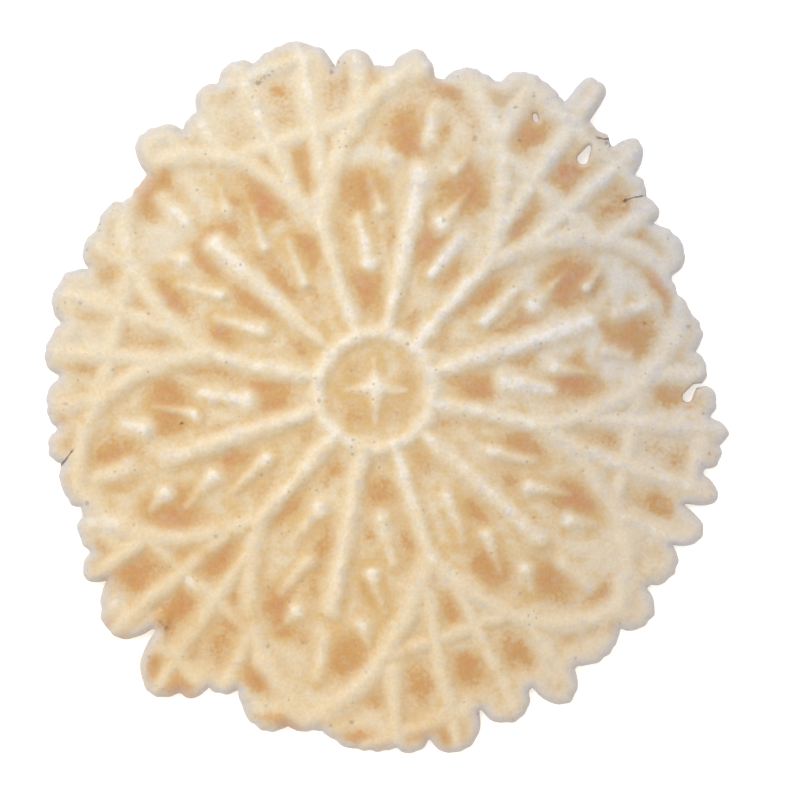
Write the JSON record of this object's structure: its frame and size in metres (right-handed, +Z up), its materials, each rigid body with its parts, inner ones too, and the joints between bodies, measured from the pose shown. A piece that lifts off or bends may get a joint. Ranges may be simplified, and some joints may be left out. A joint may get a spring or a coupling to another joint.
{
  "type": "pizzelle wafer cookie",
  "caption": "Round thin crisp waffle cookie with a raised petal rosette, medallion star, lattice and ragged lobed rim; lies flat.",
  "frame": {"origin": "centre of the outline's bounding box, on the surface the wafer lies on", "axes": "+Z up out of the shown face, +Y across the wafer along its longest extent, +X to the right of it seen from above"},
  "size_m": [0.1274, 0.1329, 0.0032],
  "materials": {
    "baked_wafer": "matte, dry baked crust, browned in the pockets"
  },
  "bodies": {
    "root": {"wafer": "baked_wafer"}
  },
  "joints": []
}
